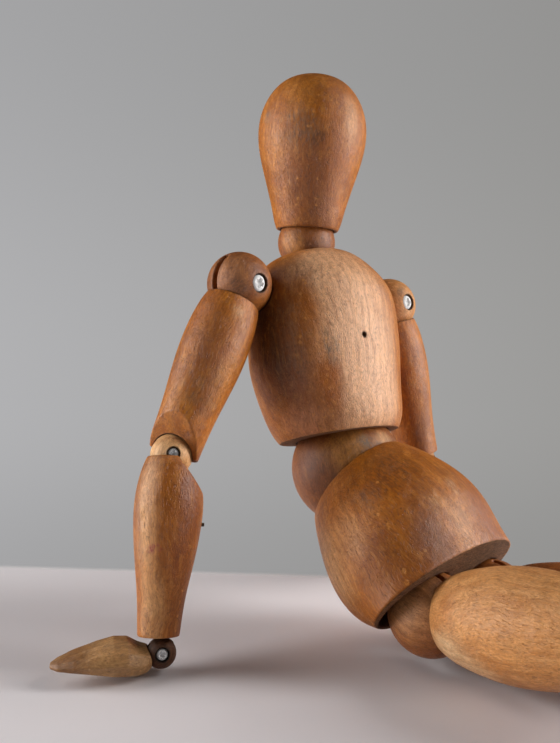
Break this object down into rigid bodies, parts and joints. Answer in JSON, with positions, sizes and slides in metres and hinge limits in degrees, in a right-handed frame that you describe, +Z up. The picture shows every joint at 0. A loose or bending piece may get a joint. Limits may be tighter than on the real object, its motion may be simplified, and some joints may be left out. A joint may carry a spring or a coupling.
{
  "type": "artist mannequin",
  "caption": "Jointed wooden artist mannequin, reclining on its hands with legs forward; balls on screws and inner tension springs hold each joint.",
  "frame": {"origin": "on the floor plane, below the middle of the whole figure's box in the built pose", "axes": "+Z up; the figure faces -Y and its left side is towards +X"},
  "size_m": [0.1426, 0.1926, 0.1458],
  "materials": {
    "varnished_beech": "aged satin varnish, orange-brown with dark patina and rubbed pale patches",
    "dark_wood": "darkened varnish, satin",
    "pale_wood": "rubbed pale, thin satin varnish",
    "grey_wood": "worn greyish wood, nearly matt",
    "nickel": "bright nickel plating, lightly scratched",
    "dull_steel": "dulled steel, dark in the recess",
    "spring_steel": "plain drawn spring wire"
  },
  "bodies": {
    "pelvis": {"pelvis": "varnished_beech", "pelvis_pin": "dull_steel", "hip_spring_left": "spring_steel", "hip_spring_right": "spring_steel"},
    "waist_ball": {"waist_ball": "dark_wood"},
    "thorax": {"thorax": "varnished_beech", "chest_pin": "dull_steel", "shoulder_spring": "spring_steel", "neck_spring": "spring_steel", "waist_spring": "spring_steel"},
    "neck_ball": {"neck_ball": "dark_wood"},
    "head": {"head": "varnished_beech", "head_pin": "dull_steel"},
    "shoulder_ball_right": {"shoulder_ball_right": "varnished_beech", "shoulder_screw_right": "nickel"},
    "upper_arm_right": {"upper_arm_right": "varnished_beech", "upper_arm_spring_right": "spring_steel"},
    "elbow_ball_right": {"elbow_ball_right": "pale_wood", "elbow_screw_right": "dull_steel"},
    "forearm_right": {"forearm_right": "varnished_beech", "forearm_spring_right": "spring_steel", "forearm_pin_right": "dull_steel"},
    "wrist_ball_right": {"wrist_ball_right": "dark_wood", "wrist_screw_right": "dull_steel"},
    "hand_right": {"hand_right": "grey_wood"},
    "hip_ball_right": {"hip_ball_right": "varnished_beech", "hip_screw_right": "nickel"},
    "thigh_right": {"thigh_right": "pale_wood", "thigh_spring_right": "spring_steel"},
    "knee_ball_right": {"knee_ball_right": "varnished_beech", "knee_screw_right": "nickel"},
    "shin_right": {"shin_right": "varnished_beech", "shin_spring_right": "spring_steel"},
    "ankle_ball_right": {"ankle_ball_right": "dark_wood", "ankle_screw_right": "dull_steel"},
    "foot_right": {"foot_right": "varnished_beech"},
    "shoulder_ball_left": {"shoulder_ball_left": "varnished_beech", "shoulder_screw_left": "nickel"},
    "upper_arm_left": {"upper_arm_left": "varnished_beech", "upper_arm_spring_left": "spring_steel"},
    "elbow_ball_left": {"elbow_ball_left": "pale_wood", "elbow_screw_left": "dull_steel"},
    "forearm_left": {"forearm_left": "varnished_beech", "forearm_spring_left": "spring_steel", "forearm_pin_left": "dull_steel"},
    "wrist_ball_left": {"wrist_ball_left": "dark_wood", "wrist_screw_left": "dull_steel"},
    "hand_left": {"hand_left": "grey_wood"},
    "hip_ball_left": {"hip_ball_left": "varnished_beech", "hip_screw_left": "nickel"},
    "thigh_left": {"thigh_left": "pale_wood", "thigh_spring_left": "spring_steel"},
    "knee_ball_left": {"knee_ball_left": "varnished_beech", "knee_screw_left": "nickel"},
    "shin_left": {"shin_left": "varnished_beech", "shin_spring_left": "spring_steel"},
    "ankle_ball_left": {"ankle_ball_left": "dark_wood", "ankle_screw_left": "dull_steel"},
    "foot_left": {"foot_left": "varnished_beech"}
  },
  "joints": [
    {"name": "waist_bend", "type": "hinge", "parent": "pelvis", "child": "waist_ball", "pos_m": [0.00353, 0.05628, 0.03985], "axis": [0.9999, 0.0043, -0.0135], "range_deg": [-45, 3], "deforming": ["waist_spring"]},
    {"name": "waist_turn", "type": "hinge", "parent": "waist_ball", "child": "thorax", "pos_m": [0.00353, 0.05628, 0.03985], "axis": [0.012, 0.254, 0.9671], "range_deg": [-60, 60]},
    {"name": "neck_nod", "type": "hinge", "parent": "thorax", "child": "neck_ball", "pos_m": [0.00324, 0.07188, 0.10065], "axis": [0.9999, 0.0043, -0.0135], "range_deg": [-25, 25], "deforming": ["neck_spring"]},
    {"name": "head_turn", "type": "hinge", "parent": "neck_ball", "child": "head", "pos_m": [0.00324, 0.07188, 0.10065], "axis": [0, -0.0797, 0.9968], "range_deg": [-90, 90]},
    {"name": "shoulder_swing_right", "type": "hinge", "parent": "thorax", "child": "shoulder_ball_right", "pos_m": [-0.02437, 0.06588, 0.08635], "axis": [0.9999, 0.0043, -0.0135], "range_deg": [-110, 45], "deforming": ["shoulder_spring"]},
    {"name": "shoulder_raise_right", "type": "hinge", "parent": "shoulder_ball_right", "child": "upper_arm_right", "pos_m": [-0.02437, 0.06588, 0.08635], "axis": [-0.0726, 0.9967, 0.0371], "range_deg": [-12, 90], "deforming": ["upper_arm_spring_right"]},
    {"name": "elbow_twist_right", "type": "hinge", "parent": "upper_arm_right", "child": "elbow_ball_right", "pos_m": [-0.04367, 0.06598, 0.04585], "axis": [0.4302, -0.0022, 0.9027], "range_deg": [-90, 90]},
    {"name": "elbow_bend_right", "type": "hinge", "parent": "elbow_ball_right", "child": "forearm_right", "pos_m": [-0.04367, 0.06598, 0.04585], "axis": [-0.4225, -0.8842, 0.1991], "range_deg": [-15, 30], "deforming": ["forearm_spring_right"]},
    {"name": "wrist_twist_right", "type": "hinge", "parent": "forearm_right", "child": "wrist_ball_right", "pos_m": [-0.05006, 0.05968, 0.0043], "axis": [0.1506, 0.1482, 0.9774], "range_deg": [-60, 60]},
    {"name": "wrist_bend_right", "type": "hinge", "parent": "wrist_ball_right", "child": "hand_right", "pos_m": [-0.05006, 0.05968, 0.0043], "axis": [-0.4089, -0.8908, 0.198], "range_deg": [0, 60]},
    {"name": "hip_turn_right", "type": "hinge", "parent": "pelvis", "child": "hip_ball_right", "pos_m": [-0.00487, 0.02298, 0.01245], "axis": [0.0599, -0.7639, -0.6425], "range_deg": [-1.5, 35], "deforming": ["hip_spring_right"]},
    {"name": "hip_bend_right", "type": "hinge", "parent": "hip_ball_right", "child": "thigh_right", "pos_m": [-0.00487, 0.02298, 0.01245], "axis": [0.9979, 0.031, 0.0563], "range_deg": [-5, 32], "deforming": ["thigh_spring_right"]},
    {"name": "knee_twist_right", "type": "hinge", "parent": "thigh_right", "child": "knee_ball_right", "pos_m": [-0.00366, -0.03022, 0.02045], "axis": [-0.0223, 0.9886, -0.1487], "range_deg": [-45, 45]},
    {"name": "knee_bend_right", "type": "hinge", "parent": "knee_ball_right", "child": "shin_right", "pos_m": [-0.00366, -0.03022, 0.02045], "axis": [0.9983, 0.0141, -0.056], "range_deg": [-24, 33], "deforming": ["shin_spring_right"]},
    {"name": "ankle_twist_right", "type": "hinge", "parent": "shin_right", "child": "ankle_ball_right", "pos_m": [-0.00366, -0.08202, 0.0074], "axis": [0, 0.9697, 0.2443], "range_deg": [-45, 45]},
    {"name": "ankle_bend_right", "type": "hinge", "parent": "ankle_ball_right", "child": "foot_right", "pos_m": [-0.00366, -0.08202, 0.0074], "axis": [-0.9968, 0.0195, -0.0774], "range_deg": [-25, 18]},
    {"name": "shoulder_swing_left", "type": "hinge", "parent": "thorax", "child": "shoulder_ball_left", "pos_m": [0.03044, 0.06588, 0.08435], "axis": [0.9999, 0.0043, -0.0135], "range_deg": [-110, 45]},
    {"name": "shoulder_raise_left", "type": "hinge", "parent": "shoulder_ball_left", "child": "upper_arm_left", "pos_m": [0.03044, 0.06588, 0.08435], "axis": [0.0339, -0.9956, 0.0876], "range_deg": [-2.5, 90], "deforming": ["upper_arm_spring_left"]},
    {"name": "elbow_twist_left", "type": "hinge", "parent": "upper_arm_left", "child": "elbow_ball_left", "pos_m": [0.03943, 0.06228, 0.03995], "axis": [-0.198, 0.0792, 0.977], "range_deg": [-90, 90]},
    {"name": "elbow_bend_left", "type": "hinge", "parent": "elbow_ball_left", "child": "forearm_left", "pos_m": [0.03943, 0.06228, 0.03995], "axis": [0.929, -0.3027, 0.2129], "range_deg": [-15, 26], "deforming": ["forearm_spring_left"]},
    {"name": "wrist_twist_left", "type": "hinge", "parent": "forearm_left", "child": "wrist_ball_left", "pos_m": [0.05344, 0.08018, 0.0043], "axis": [-0.3312, -0.4234, 0.8433], "range_deg": [-60, 60]},
    {"name": "wrist_bend_left", "type": "hinge", "parent": "wrist_ball_left", "child": "hand_left", "pos_m": [0.05344, 0.08018, 0.0043], "axis": [0.658, -0.7442, -0.1153], "range_deg": [0, 40]},
    {"name": "hip_turn_left", "type": "hinge", "parent": "pelvis", "child": "hip_ball_left", "pos_m": [0.01853, 0.02298, 0.01085], "axis": [-0.0599, 0.7639, 0.6425], "range_deg": [-1.5, 35], "deforming": ["hip_spring_left"]},
    {"name": "hip_bend_left", "type": "hinge", "parent": "hip_ball_left", "child": "thigh_left", "pos_m": [0.01853, 0.02298, 0.01085], "axis": [0.9978, 0.0638, 0.0173], "range_deg": [-5, 32], "deforming": ["thigh_spring_left"]},
    {"name": "knee_twist_left", "type": "hinge", "parent": "thigh_left", "child": "knee_ball_left", "pos_m": [0.02193, -0.03092, 0.01355], "axis": [0.0629, -0.9968, 0.0499], "range_deg": [-45, 45]},
    {"name": "knee_bend_left", "type": "hinge", "parent": "knee_ball_left", "child": "shin_left", "pos_m": [0.02193, -0.03092, 0.01355], "axis": [0.9977, 0.0615, -0.0289], "range_deg": [-7, 51], "deforming": ["shin_spring_left"]},
    {"name": "ankle_twist_left", "type": "hinge", "parent": "shin_left", "child": "ankle_ball_left", "pos_m": [0.02493, -0.08232, 0.00775], "axis": [0.0579, -0.992, -0.1119], "range_deg": [-45, 45]},
    {"name": "ankle_bend_left", "type": "hinge", "parent": "ankle_ball_left", "child": "foot_left", "pos_m": [0.02493, -0.08232, 0.00775], "axis": [0.9898, 0.0717, -0.1232], "range_deg": [-25, 18]}
  ]
}
